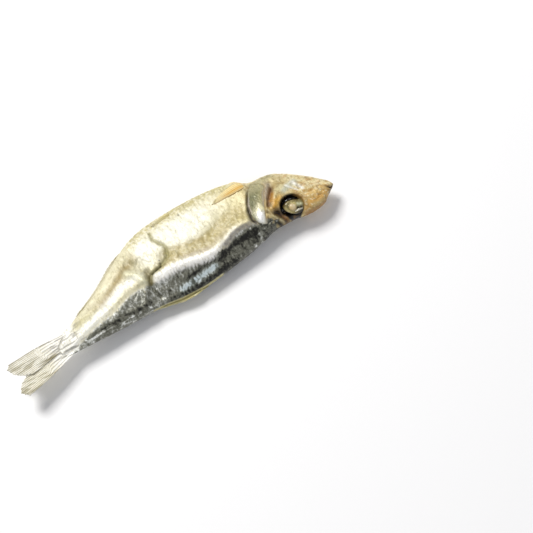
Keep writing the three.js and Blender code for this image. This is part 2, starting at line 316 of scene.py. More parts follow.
def nearness(d, height):
    """A reader of how near the skin is to a line: 1 on the line, less with every width from it."""
    def near(line, width):
        return bell(distance_to(line, d, height), width)

    return near


RIDGE = [
    (24, -1), (26.5, 1.2), (28, 2.2), (29.8, 2.4), (31.9, 2.6), (35, 2.1), (38.1, 1.1), (40.6, 0.5),
    (44, 0.1), (47, 0.6), (50, 1.4), (53, 2.2), (56, 2.5), (60, 2.6), (63, 2.9), (66, 3.7),
    (69, 3.5), (72, 3.2), (76.8, 1.9), (82.5, 0.7), (88, -0.7), (92, -1.9), (97, -2.8),
]
BUCKLE = [
    (55.8, 16.1), (56.1, 13.8), (55.1, 11.8), (54.1, 10.4), (54, 9), (54.9, 6.8), (57, 5.6),
    (58.8, 4.9), (60.3, 4.7), (61.9, 4.3), (63.1, 2.9), (63.7, 0.7), (63.7, -1), (62.8, -3),
]
REAR_HOLLOW = [(66.4, 12.4), (64.4, 10.7), (63.2, 8.7), (62.7, 6), (63.2, 3.8)]
SLIT = [(58.2, 5.1), (60.1, 4.7), (61.6, 4.3)]
COLLAR = [(68, 8.4), (66, 6.8), (65, 5.2), (64.9, 3.6), (65.3, 1.8), (66.6, -0.8), (68.6, -3.4)]
GILL_EDGE = [
    (19.6, 13.4), (21.9, 12.8), (24.7, 10.1), (26.2, 7.8), (27.2, 4.9), (27.7, 2.4), (27, 0.4),
    (26, -0.8), (24.3, -1.2), (22.8, -1),
]
GROOVE = [(17, 9.6), (17.4, 8), (18.8, 6.4), (20.3, 5), (21.2, 3.4)]
CREST = [(22.3, 2.9), (21.8, 0.4), (20.9, -1.4), (19.7, -2.7)]
EYE = (15.1, -0.1)
ORBIT_RADIUS = 3.7
MOUTH = [(0, -0.9), (1.2, -1), (2.4, -0.2), (4.2, 1.6)]


def comb(d, height, points):
    """Rows of scale pockets, 0 to 1: an uneven wave along the fish that leans back."""
    wave = 2 * math.pi * (d + 0.45 * height) / 1.3
    strength = 0.12 + 0.55 * np.abs(grain(points, 2.6, seed=20))
    return 0.5 + strength * np.sin(wave + 5 * grain(points, 2.6, seed=16))


def creases(points, size, width, seed):
    """Thin lines, 1 in their middle, that wander over the skin like the creases of dry leather."""
    return bell(grain(points, size, seed, depth=2), width)


# %% [markdown]
# ## Shader sums written as sums
# A material is a web of nodes, and sums in it are easier to read as sums. A Value stands for a node's
# output: adding or multiplying two of them adds the Math node that does it. Every other node comes
# from one call that takes its type, its settings and its inputs.

# %% Shader helper
class Value:
    def __init__(self, finish, socket):
        self.finish, self.socket = finish, socket

    def math(self, operation, first, second):
        return self.finish.node("ShaderNodeMath", {"operation": operation}, first, second)

    def __add__(self, other):
        return self.math("ADD", self, other)

    def __mul__(self, other):
        return self.math("MULTIPLY", self, other)

    def __sub__(self, other):
        return self.math("SUBTRACT", self, other)

    def __rsub__(self, other):
        return self.math("SUBTRACT", other, self)

    __radd__ = __add__
    __rmul__ = __mul__

    def between(self, low, high):
        """0 under low, 1 over high and a smooth rise between them."""
        settings = {"interpolation_type": "SMOOTHSTEP"}
        return self.finish.node("ShaderNodeMapRange", settings, self, low, high, 0, 1)


class Finish:
    """A material with one Principled shader."""

    def __init__(self, name):
        self.made = bpy.data.materials.new(name)
        self.made.use_nodes = True
        self.nodes = self.made.node_tree.nodes
        self.links = self.made.node_tree.links
        self.shader = self.nodes["Principled BSDF"]

    def put(self, socket, value):
        if isinstance(value, Value):
            self.links.new(value.socket, socket)
        else:
            socket.default_value = value

    def node(self, kind, settings, *inputs, output=0, **named):
        made = self.nodes.new(kind)
        for name, value in settings.items():
            setattr(made, name, value)
        for socket, value in zip(made.inputs, inputs):
            self.put(socket, value)
        for name, value in named.items():
            self.put(made.inputs[name], value)
        return Value(self, made.outputs[output])

    def mix(self, amount, below, above, blend="MIX"):
        """Colours mixed by amount: 0 shows below, 1 shows above."""
        made = self.nodes.new("ShaderNodeMix")
        made.data_type = "RGBA"
        made.blend_type = blend
        for socket, value in zip((made.inputs[0], made.inputs[6], made.inputs[7]),
                                 (amount, below, above)):
            self.put(socket, value)
        return Value(self, made.outputs[2])

    def attribute(self, name, output="Fac"):
        return self.node("ShaderNodeAttribute", {"attribute_name": name}, output=output)

    def stretched(self, x, y, z):
        """Places on the fish in millimetres, each way squeezed by its own factor."""
        here = self.node("ShaderNodeTexCoord", {}, output="Object")
        scale = (x / MM, y / MM, z / MM)
        return self.node("ShaderNodeMapping", {}, Vector=here, Scale=scale)

    def noise(self, where, size, detail=4, roughness=0.55):
        return self.node("ShaderNodeTexNoise", {}, Vector=where, Scale=1 / size, Detail=detail,
                         Roughness=roughness)

    def bump(self, height, strength, distance):
        return self.node("ShaderNodeBump", {}, Strength=strength, Distance=distance * MM,
                         Height=height)

    def set(self, **values):
        for name, value in values.items():
            self.put(self.shader.inputs[name.replace("_", " ")], value)
        return self.made


def ink(code):
    """A colour as it is seen, such as "d8cfae", as the linear numbers that shaders take."""
    shares = [int(code[i:i + 2], 16) / 255 for i in (0, 2, 4)]
    return tuple(s / 12.92 if s < 0.04045 else ((s + 0.055) / 1.055) ** 2.4 for s in shares)


def inked(code):
    return (*ink(code), 1)


def washes_on(colour):
    """A brush that lays one colour over an array of colours, as strongly as amount says at each."""
    def wash(code, amount):
        amount = np.clip(amount, 0, 1)[:, None]
        colour[:] = colour * (1 - amount) + amount * np.array(ink(code))

    return wash


def ground(code, count):
    """A ground colour for every vertex, and the brush that lays washes over it."""
    colour = np.tile(np.array(ink(code)), (count, 1))
    return colour, washes_on(colour)


# %% [markdown]
# Every piece ends the same way: its shape becomes a mesh with the colours that were worked out for its
# vertices, it rides on the fish, and it stands for the measured pieces it replaces.

# %% Piece helper
def numbers_of(shape):
    return np.array([vertex.co for vertex in shape.verts])


def settle(shape, points):
    for vertex, point in zip(shape.verts, points * MM):
        vertex.co = point


def finish_piece(name, shape, material, replaced, tones):
    mesh = bpy.data.meshes.new(name)
    bmesh.ops.recalc_face_normals(shape, faces=shape.faces)
    shape.to_mesh(mesh)
    shape.free()
    for key, values in tones.items():
        if values.ndim == 2:
            layer = mesh.attributes.new(key, "FLOAT_COLOR", "POINT")
            layer.data.foreach_set("color", np.c_[values, np.ones(len(values))].ravel())
        else:
            layer = mesh.attributes.new(key, "FLOAT", "POINT")
            layer.data.foreach_set("value", values)
    mesh.shade_smooth()
    mesh.materials.append(material)
    piece = bpy.data.objects.new(name, mesh)
    bpy.context.collection.objects.link(piece)
    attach(piece, "root")
    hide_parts(*replaced)
    print(f"{name}: {len(mesh.vertices)} vertices, {len(mesh.polygons)} faces")
    return piece


def stretched_globe(rings, points):
    """A globe with its vertices listed as ring share (0 at the first pole) and turn."""
    shape = bmesh.new()
    bmesh.ops.create_uvsphere(shape, u_segments=points, v_segments=rings, radius=1)
    co = numbers_of(shape)
    ring = np.arccos(np.clip(co[:, 2], -1, 1)) / math.pi
    turn = np.arctan2(co[:, 1], co[:, 0])
    return shape, ring, turn


# %% [markdown]
# ## Body
# The body could be sculpted by hand, but then its folds couldn't be moved or measured. Here a globe is
# drawn over the fish's lines, as a sock over a foot, and every fold is a sum of simple shapes: a bell
# along a line for a crease, a step across a line for an edge.

# %% Body: relief of the trunk and tail
NOTCH = [(37.2, 3), (39.2, 0.4), (41.6, -2.6), (43, -5)]
RIGHT_BUCKLE = 0.12  # how much of the buckle shows on the right flank
BUCKLE_FOLDS = [  # rise in mm, width in mm, line
    (-0.5, 0.9, [(62.8, 6), (63.2, 3.6), (63.7, 0.5)]),
    (-0.6, 0.28, SLIT),
    (0.7, 1.35, COLLAR),
    (0.14, 1.2, [(52.6, 15), (53, 12.4), (51.7, 10.6), (51.6, 8), (52.9, 5.6)]),
    (0.12, 1.9, [(58.2, 12.5), (57.6, 9.5), (59.3, 7)]),
    (-0.3, 0.6, [(66.8, 2.6), (68.4, -1.2), (70.4, -4)]),
]


def trunk_relief(d, height, left):
    """Millimetres that the dried skin stands out from the smooth one, behind the head."""
    near = nearness(d, height)
    ridge = smooth_read(RIDGE, d)
    over = height - ridge
    trunk = ease(26.5, 31, d)
    tail = ease(64, 70, d)
    # The ridge falls gently to the belly and steeply to the back, which is sunken.
    crest = over + 1.3 * band(42, 61, d, 4)
    sharp = np.where(crest > 0, bell(crest, 2.6), bell(crest, 0.9))
    relief = 0.6 * trunk * (1 - 0.6 * tail) * sharp
    depth_of_band = np.maximum(ridge - back_line(d), 1)
    sunken = np.sin(np.pi * np.clip(1 + over / depth_of_band, 0, 1)) * (over < 0)
    relief -= 0.75 * trunk * (1 - 0.7 * tail) * sunken
    relief -= 0.35 * trunk * bell(over - 5.2, 2.8) * (1 - tail)
    relief -= 0.3 * near(NOTCH, 0.9)
    # The buckle is pinched towards the back, and open and shallow on the belly.
    deep = RIGHT_BUCKLE + (1 - RIGHT_BUCKLE) * left
    pinch = 0.3 + 0.7 * ease(10, 5.5, height)
    relief -= deep * pinch * (0.75 * near(BUCKLE, 0.4) + 0.16 * near(BUCKLE, 1.3))
    relief -= deep * 0.45 * near(REAR_HOLLOW, 1.8) * ease(13, 7.5, height)
    for rise, width, line in BUCKLE_FOLDS:
        relief += deep * rise * near(line, width)
    relief += 0.25 * tail * bell(height - 1.15 * ridge - 3.2, 1.3)
    return relief


# %% Body: relief of the head
SOCKET_DEPTH = 2.6
SOCKET_STRETCH = 1.03  # how much longer the socket is than high
HEAD_BONES = [  # rise in mm, width in mm, line
    (-1.5, 1.05, [(20.1, 0.2), (19.2, -1.2), (18.6, -2.2)]),  # hollow behind the eye
    (0.4, 0.4, CREST),
    (-1.1, 0.75, [(21.3, -2.2), (20.6, -3.1)]),  # gap under the nape
    (0.32, 0.8, [(2.2, -0.2), (4.4, 1.4), (6.8, 3), (9, 4.4), (10, 5.6)]),  # upper jaw
    (-0.3, 0.35, [(3.6, 3.2), (6.4, 5.4), (9.2, 7.4)]),  # seam between the jaws
    (-0.25, 0.45, [(10, 8.2), (13.4, 9), (16.4, 10.2)]),  # lower edge of the cheek
    (0.3, 0.9, [(10.6, 6.4), (13.6, 6.2), (15.6, 5.4)]),  # bone under the eye
    (-0.4, 0.35, [(5.4, -1.6), (6.1, -1.4)]),  # nostril
    (-0.3, 0.7, [(7, 0.8), (9.6, 1.2)]),  # dip in front of the eye
    (-0.45, 0.6, GROOVE),
    (0.35, 0.9, [(15.6, 8), (17.4, 5.6), (19.2, 3.6), (20, 1.6)]),  # cheek plate
]


def socket_distance(d, height):
    """Millimetres from the middle of the socket, which is a little longer than high."""
    return np.hypot((d - EYE[0]) / SOCKET_STRETCH, height - EYE[1])


def head_relief(d, height):
    """The head's bones: a bowl for the eye, hollows behind it, jaw and cheek lines."""
    near = nearness(d, height)
    from_eye = socket_distance(d, height)
    relief = -SOCKET_DEPTH * (1 - ease(ORBIT_RADIUS - 0.7, ORBIT_RADIUS + 0.05, from_eye))
    relief += 0.16 * bell(from_eye - ORBIT_RADIUS - 0.4, 0.35)
    for rise, width, line in HEAD_BONES:
        relief += rise * near(line, width)
    relief -= 0.8 * near(MOUTH, 0.3) * (1 - ease(2.4, 4.4, d))
    return relief


# %% [markdown]
# The gill opening is a cut behind the cover. The skin under the cover is sunken, so that the cover lies
# in a bed and not on top of the flank.

# %% Body: gill opening
def slit_width(height):
    """The gill opening gapes at its lower end and is a thin line above."""
    return 0.3 + 0.34 * band(2.2, 5.4, height, 1.5)


def gill_relief(d, height):
    """The opening behind the gill cover, and the bed under the cover."""
    edge = nearness(d, height)(GILL_EDGE, slit_width(height))
    open_part = 0.3 + 0.7 * band(1.5, 9.6, height)
    bed = gill_bed(d, height) * ease(-0.3, 0.5, behind_cheek(d, height))
    return -1.1 * edge * open_part - 0.6 * bed * (1 - edge)


COVER_FRONT = [
    (-2, 24.3), (0.8, 23.7), (3, 22.6), (6.5, 20.7), (8, 19.9), (9.9, 18.6), (11.4, 19), (12.8, 21),
    (14, 23),
]


def behind_cheek(d, height):
    """Millimetres behind the line where the gill cover comes out from under the cheek."""
    return d - smooth_read(COVER_FRONT, height)


COVER_CENTRE = (22.4, 5.6)
COVER_OUTLINE = [
    (20.4, 13.4), (21.7, 12.6), (24.4, 9.9), (25.9, 7.7), (26.8, 4.9), (27.1, 2.5), (26.5, 0.5),
    (25.4, -0.6), (24, -1), (22.4, -0.8), (21, 0.4), (20, 2.4), (18.6, 4.6), (17.2, 6.6),
    (16.2, 8.6), (15.9, 10.8), (17, 12.8), (18.8, 13.6),
]


def cover_reach(direction):
    """How far the gill cover reaches from its centre in any direction, in mm."""
    steps = np.array(COVER_OUTLINE) - COVER_CENTRE
    angles = np.arctan2(steps[:, 1], steps[:, 0])
    order = np.argsort(angles)
    reach = np.hypot(*steps.T)[order]
    angles = angles[order]
    full_turn = 2 * math.pi
    before, after = (angles[-1] - full_turn, reach[-1]), (angles[0] + full_turn, reach[0])
    return smooth_read([before, *zip(angles, reach), after], direction)


def gill_bed(d, height):
    """1 under the gill cover and 0 outside it."""
    out = np.hypot(d - COVER_CENTRE[0], height - COVER_CENTRE[1])
    direction = np.arctan2(height - COVER_CENTRE[1], d - COVER_CENTRE[0])
    return 1 - ease(-0.9, -0.1, out - cover_reach(direction))


# %% Body: shape
BODY_RINGS = 392
BODY_POINTS = 236
RING_DENSITY = [
    (0, 1.3), (8, 1.15), (28, 1.15), (36, 0.75), (50, 0.8), (55, 1.25), (69, 1.2), (78, 0.8), (97, 0.9),
]


def ring_places(ring):
    """Rings are closer together where the skin has more to show."""
    d = np.linspace(0, STANDARD_LENGTH, 1000)
    passed = np.cumsum(np.interp(d, *zip(*RING_DENSITY)))
    passed = (passed - passed[0]) / (passed[-1] - passed[0])
    return np.interp(ring, passed, d)


def body_skin(ring, turn):
    d = ring_places(ring)
    height = height_at(d, turn)
    left = (np.sin(turn) > 0).astype(float)
    closing = np.sqrt(1 - (1 - np.clip(np.minimum(d / 0.9, (STANDARD_LENGTH - d) / 0.6), 0, 1)) ** 2)
    flat = smooth_skin(d, turn, closing)
    middle = middle_height(d)
    flat[:, 2] = middle + (flat[:, 2] - middle) * (1 - 0.93 * ease(86, 96.5, d))
    flat[:, 0] += 0.5 * (height - back_line(d)) * ease(87, 97, d)
    head = 1 - ease(26, 29.5, d)
    relief = trunk_relief(d, height, left) + gill_relief(d, height)
    relief += head_relief(d, height) * head
    share = (1 - np.cos(turn)) / 2
    rim = np.clip(16 * share * (1 - share), 0, 1)
    relief *= rim * closing
    calm = 1 - 0.85 * ease(87, 94, d)
    fine = (1 - 0.6 * head) * rim
    relief += 0.15 * grain(flat, 7, seed=1) * rim * calm
    relief += 0.12 * grain(flat * (1, 0.6, 0.6), 2, seed=2) * fine * calm
    relief += 0.09 * grain(flat * (1, 0.55, 0.55), 0.8, seed=6) * closing * calm
    relief += 0.05 * (comb(d, height, flat) - 0.5) * band(33, 90, d)
    relief -= 0.1 * creases(flat * (0.7, 1, 1), 2.2, 0.07, seed=18) * head * rim
    relief -= 0.16 * creases(flat, 4.5, 0.035, seed=19) * band(53, 70, d) * left * rim
    scutes = bell(share - 1, 0.01) * ease(29, 34, d) * (1 - ease(63, 67, d))
    relief += 0.12 * scutes * (1 - (d / 1.6) % 1)
    points = flat + relief[:, None] * skin_normal(d, turn)
    points[:, 2] = np.maximum(points[:, 2], 0)
    return d, height, share, points


# %% [markdown]
# Colour is laid on the same way, in washes: a ground colour for the whole skin, then one wash after
# another, each with its own colour and a mask that says how strongly it covers each bit of skin.

# %% Body: colours of the flank
def flank_washes(wash, d, height, share, points, cloud, rows):
    """Bone white below, tan above it, and a bright strip along the ridge that is a painted highlight.
    """
    streak = patches(points * (1, 0.3, 0.3), 1.1, seed=4)
    speckle = patches(points, 0.8, seed=7)
    over = height - smooth_read(RIDGE, d)
    front = 1 - ease(61, 66, d)
    rear = 1 - front
    # white middle, straw shoulder, and tan scales on the belly's edge
    wash("f0eedd", 0.95 * band(9, 15, height, 4) * ease(33, 44, d) * front)
    wash("e6daa6", 0.8 * (1 - ease(28.5, 35, d)) * (0.5 + 0.5 * cloud))
    wash("bdb27a", 0.85 * ease(0.8, 0.96, share) * band(29, 62, d, 5) * ease(0.2, 0.7, speckle))
    # tan field under the ridge, with its mauve upper edge
    tan = band(2.4, 5.6, over, 2.2) * band(29, 58, d, 3)
    wash("9f8d52", 0.95 * tan * (0.7 + 0.3 * cloud) * (0.35 + 0.65 * ease(0.2, 0.6, speckle)))
    wash("b5aba0", 0.5 * bell(over - 1.9, 0.8) * band(36, 50, d, 3))
    wash("b3a973", 0.5 * bell(over - 4.4, 1.6) * band(46, 54, d, 2.5) * (0.4 + 0.6 * cloud))
    # painted highlight: a bright strip along the ridge's crest, grey in front
    strip = -0.3 - 1.8 * ease(39, 45, d)
    wash("f7f6f3", 0.97 * band(strip, 0.4 + 0.6 * rows, over, 0.8)
         * (0.5 * ease(31, 35, d) + 0.5 * ease(38, 43, d)) * front)
    mauve = band(-3.4, -0.4, over, 0.8) * band(27, 38, d, 3)
    wash("8a8583", 0.9 * mauve * (0.45 + 0.75 * speckle))
    wash("b0a46c", 0.55 * band(2, 8, over, 2.5) * band(30, 41, d, 4) * (0.4 + 0.6 * cloud))
    wash("8f8d88", 0.6 * bell(over + 1.6, 1) * (1 - rows) * band(42, 60, d) * front)
    # tail: a tan stripe that thins out, a silver one above it that is partly the skin's silver and
    # partly a painted highlight on the crest, and a white stalk with grey fibres
    wash("d9d2ac", 0.7 * rear * cloud)
    tan_height = smooth_read([(64, 12), (70, 9), (77, 4.8), (81, 3.2), (87, 2.2), (94, 1.9)], d)
    from_stripe = height - tan_height
    wash("917d45", 0.95 * rear * bell(from_stripe, 1.9) * (0.7 + 0.3 * streak) * (1 - ease(80, 86, d)))
    wash("a89f62", 0.95 * ease(78, 84, d) * bell(from_stripe, 1.2) * (1 - ease(92, 95, d)))
    stalk = ease(72, 82, d)
    # silver stripe: the skin's silver with a painted highlight along the lit crest
    silver = bell(over - 2 + 1.6 * stalk, 1.3 + 0.5 * stalk)
    wash("f9f9f2", 0.97 * rear * silver * (0.7 + 0.3 * speckle))
    fibre = patches(points * (0.2, 1.3, 1.3), 1, seed=24)
    wash("f2f1ea", 0.9 * ease(88, 93, d))
    wash("8f8c84", 0.75 * ease(84, 92, d) * ease(0.56, 0.7, fibre))


def fold_washes(wash, d, height, cloud):
    """Round the buckle: a pale lobe that is partly painted light, brown painted shade in the crease,
    the hollow and the slit, a painted highlight on the collar, and black specks.
    """
    near = nearness(d, height)
    # pale lobe behind the buckle: partly its own pale colour, partly painted light on its raised face
    wash("f6f3de", 0.7 * near([(58.2, 13), (57.4, 10), (58.6, 7.4)], 1.9))
    # painted shade along the crease and round it
    wash("99935f", 0.85 * near(BUCKLE, 0.7))
    wash("b0a87c", 0.4 * near(BUCKLE, 1.5) * (height < 10))
    # painted shade in the hollow behind the buckle
    wash("99936c", 0.6 * near(REAR_HOLLOW, 1.3) * (0.5 + 0.5 * cloud))
    # painted shade in the deep valley between the buckle and the collar
    wash("6a6038", 0.85 * near([(62.7, 6), (63.2, 3.6), (63.6, 1)], 0.9))
    # painted shade in the slit
    wash("1f190c", 0.95 * near(SLIT, 0.2))
    # painted highlight on the collar fold
    wash("e2dfbe", 0.8 * near(COLLAR[:4], 1.1))
    for speck in ((45.3, 16.6), (57.7, 6.8), (58, 5.9)):
        wash("3b3626", bell(np.hypot(d - speck[0], height - speck[1]), 0.3))


# %% [markdown]
# The dark back isn't a wash of its own: its share goes to the material, which tears the band's edge
# with a noise that is finer than the mesh.

# %% Body: the dark back
def dark_back(d, height, share, points, cloud, rows):
    """How far each bit of skin belongs to the dark back, from 0 to 1."""
    over = height - smooth_read(RIDGE, d)
    strokes = rows * (band(38, 61, d, 3) + 0.9 * ease(68, 76, d))
    soft = 0.9 + 1.5 * band(28, 38, d, 3) + 1.8 * ease(41, 45, d) - 0.7 * ease(76, 86, d)
    dark = ease(0, 1, (-over - 0.2 - 0.85 * strokes) / soft) * ease(25.5, 28.5, d)
    torn = d - 0.35 * height + 1.3 * grain(points, 1.8, seed=23)
    dark = np.maximum(dark, ease(0.5, -1.5, height - 0.55) * band(23.6, 28, torn, 2))
    # painted highlight: the dark back thins on the lit crest of the fold behind the collar
    fold_highlight = nearness(d, height)([(65.4, 3.4), (66.6, -0.6), (68.6, -3.6)], 1.2)
    dark *= 1 - 0.45 * fold_highlight * ease(0.3, 0.6, cloud)
    dark *= 1 - 0.9 * bell(share, 0.012) * band(44, 66, d)
    return dark * (1 - 0.8 * ease(88, 97, d + 0.8 * height))


def trunk_colour(d, height, share, points):
    """Base colour of every bit of skin, and how far it belongs to the dark back."""
    colour, wash = ground("e2dcc0", len(d))
    cloud = patches(points, 5, seed=3)
    rows = comb(d, height, points)
    flank_washes(wash, d, height, share, points, cloud, rows)
    fold_washes(wash, d, height, cloud)
    wash("c6bf8c", bell(share, 0.03) * band(44, 66, d))
    return colour, dark_back(d, height, share, points, cloud, rows)


def band_tones(d, height, points):
    """How light the dark back is, and how blue: streaks, painted highlights on the upper slope, a
    painted blue reflection streak, painted shade in the near black hollows and painted glints on the
    tail.
    """
    over = height - smooth_read(RIDGE, d)
    near = nearness(d, height)
    above_back = height - back_line(d)
    lump = grain(points, 2.2, seed=8)
    rows = comb(d, height, points)
    light = 0.4 + 0.18 * grain(points * (1, 0.5, 0.5), 0.9, seed=9)
    # painted highlight on the upper slope just under the ridge
    light += 0.14 * bell(over + 1.2, 1.6) * band(42, 62, d, 3)
    light += 0.3 * (rows - 0.5) * band(38, 62, d)
    # painted highlight on the upper slope under the ridge, in front
    light += 0.3 * bell(over + 1.1, 1.1) * band(28, 38, d)
    # painted reflection: a blue streak along the middle of the dark back, also used for its blue tint
    blue = distance_to([(44.5, -3.8), (50, -4.2), (56, -4.6)], d, height)
    light += bell(blue, 0.9) * (0.28 + 1.25 * rows) * (0.85 + lump)
    light += 0.16 * band(58, 64, d, 3)
    # painted shade: near black in the sunken trough under the ridge
    light -= 0.45 * near([(29, -1.2), (36, -1), (40, -1.5), (41.5, -3)], 1)
    light -= 0.35 * near([(44, -2), (49, -2.2), (53, -2.6)], 0.6)
    light += band(20, 31, d) * (0.35 * ease(0.1, 0.5, lump) - 0.15)
    light -= 0.35 * bell(above_back - 0.7, 0.8) * band(38, 60, d)
    tail = ease(64, 67, d)
    # painted highlight under the ridge on the tail
    light += tail * (0.13 + 0.65 * bell(over + 0.4, 1.4))
    light -= tail * 0.35 * bell(above_back - 2.2, 0.8) * (1 - ease(88, 94, d))
    # painted glints along thin scratches on the tail
    scratches = creases(points * (0.14, 1, 1), 1.1, 0.12, seed=17)
    light += 0.5 * scratches * tail * bell(above_back - 1.2, 0.9)
    light -= 0.05 * ease(91, 96, d)
    return np.clip(light, 0, 1), bell(blue, 1.4)


# %% [markdown]
# The head is bare bone and dry gristle, so its colours change from bone to bone: amber on the snout,
# silver on the cheek, and brown where the skin has sunk between them, with painted shade to black in
# the deepest hollows.

# %% Body: colours of the head
def face_washes(wash, near, head, d, share, points, cloud, speckle):
    """Straw jaws, an amber snout with pale specks, and a brown rim on its top."""
    wash("cdb981", head)
    wash("d6c89a", 0.9 * head * ease(0.62, 0.85, share))
    wash("efe0b4", 0.7 * head * ease(0.9, 0.98, share))
    wash("ab945a", 0.85 * near([(14.6, 8.4), (18, 7.6), (16.4, 4.6)], 2) * (0.45 + 0.55 * cloud))
    wash("ead9a0", 0.85 * near([(2.6, 1), (5, 3.2), (8.6, 6.2)], 1.1))
    amber = [(3.4, -1.6), (6.4, -1.8), (9.4, -2), (11.4, -3)]
    wash("e0a23a", 0.97 * near(amber, 1.2) * (0.4 + 0.6 * cloud))
    wash("deb469", 0.9 * near([(4, 0.6), (6.8, 0.8), (10, 0.8)], 1.4) * (0.3 + 0.7 * speckle))
    wash("f2e4ba", 0.9 * near([(4.4, 2.2), (8.8, 3.6)], 0.8) * (0.4 + 0.6 * speckle))
    wash("f3e6c0", 0.8 * head * ease(0.62, 0.72, speckle) * (1 - ease(12, 16, d)))
    streaks = patches(points * (0.45, 1.2, 1.2), 1, seed=22)
    snout = head * (1 - ease(11, 14, d)) * ease(0.15, 0.45, share)
    wash("f6e9bf", 0.5 * snout * ease(0.56, 0.74, streaks))
    wash("b87a26", 0.45 * snout * ease(0.45, 0.3, streaks))
    wash("9a6a22", 0.85 * head * bell(share, 0.05) * ease(2, 6, d) * (1 - ease(12, 14, d)))


def cheek_washes(wash, near, d, cloud, speckle):
    """Gold and silver on the cheek, brown where it is sunken with painted shade to black in its
    hollows, and painted shade in the mouth.
    """
    wash("d09a20", 0.97 * near([(18, 3.9), (19.3, 2.6), (20.5, 2.2)], 1.35) * (0.6 + 0.4 * cloud))
    wash("b7ad84", 0.8 * near([(22.4, 1.4), (21.8, -0.8)], 0.9) * speckle)
    stains = near([(22.5, 2.2), (22.7, 1.8)], 0.35) + near([(23.4, 0.3), (23.5, 0)], 0.4)
    wash("2a2112", 0.9 * stains)
    wash("f0e6bc", 0.9 * near([(20.3, 3.6), (20.9, 2.2), (21, 1.2)], 0.35) * speckle)
    wash("d9cfa0", 0.8 * near([(14.6, 7.4), (17, 6.2), (18.2, 5)], 0.8))
    wash("c4c6b2", 0.9 * near([(10.4, 6.4), (12.8, 6), (14.8, 5.2)], 1.1))
    wash("f3f3ea", near([(9.4, 3), (10.2, 4.6), (11.2, 6.6)], 0.45))
    wash("f3f3ea", 0.9 * near([(11, 3.4), (13.4, 6.4)], 0.3))
    # painted shade, dark brown to black, in the hollow behind the eye and in the gap under the nape,
    # with the bony crest between them
    wash("331a04", near([(20, 0.1), (19.3, -1.2), (18.7, -2.4)], 1.7))
    wash("140b04", near([(20.5, 0.5), (19.7, -0.2)], 0.6))
    wash("8f5a1c", 0.7 * near([(18.9, -1.9), (18.2, -2.8)], 0.45) * speckle)
    wash("d6c99c", 0.85 * near(CREST, 0.32))
    # painted shade in the gap under the nape
    wash("0e0804", near([(21.4, -2.3), (20.5, -3.1)], 0.6))
    # groove in front of the gill cover: mauve edge, brown bottom that is partly its colour and partly
    # painted shade, golden front
    wash("a2988c", 0.8 * near([(17.4, 10), (19.2, 8.2), (20.4, 6.2)], 0.9))
    wash("553006", 0.97 * near([(17.6, 8.2), (18.6, 6.9), (20.2, 5.1), (21.2, 3.6)], 1))
    wash("b47c1a", 0.85 * near([(18.2, 6.2), (19.8, 4.3)], 0.6))
    # painted shade in the mouth's opening, and the dark tip of the snout
    wash("2e1d08", 0.9 * near(MOUTH, 0.32) * (1 - ease(1.8, 3.4, d)))
    wash("40290c", 0.8 * near([(0.2, -0.6), (1.2, -1), (2.4, -2)], 0.6))
    # throat
    wash("a9a37e", 0.9 * near([(15.5, 12.8), (18.6, 12.4), (21.6, 12.2), (23.8, 10.8)], 1.5))
    wash("a79a80", 0.5 * near([(19.4, 9.6), (18.2, 10.8)], 1))


def head_colour(d, height, share, points, colour):
    """Lays the head's colours over those of the trunk."""
    wash = washes_on(colour)
    anywhere = nearness(d, height)
    head = 1 - ease(24.5, 27, d)
    cloud = patches(points, 2.4, seed=5)
    speckle = patches(points, 0.7, seed=10)

    def near(line, width):
        return head * anywhere(line, width)

    face_washes(wash, near, head, d, share, points, cloud, speckle)
    cheek_washes(wash, near, d, cloud, speckle)
    # socket: painted shade, black in the deep bowl, with an amber front wall
    out_of_socket_shade = ease(ORBIT_RADIUS - 0.1, ORBIT_RADIUS + 0.12, socket_distance(d, height))
    wash("060302", 1 - out_of_socket_shade)
    wash("9a7434", 0.9 * near([(11.9, -1.6), (11.5, 0.4), (12, 2)], 0.75))
    # painted shade in the gill opening behind the cover
    edge = anywhere(GILL_EDGE, slit_width(height))
    wash("1f1206", 0.97 * edge * (0.2 + 0.8 * band(1.5, 9.6, height)) * (share < 0.97))
    wrinkles = creases(points * (0.7, 1, 1), 2.2, 0.07, seed=18)
    wash("8d6a30", 0.5 * head * wrinkles)


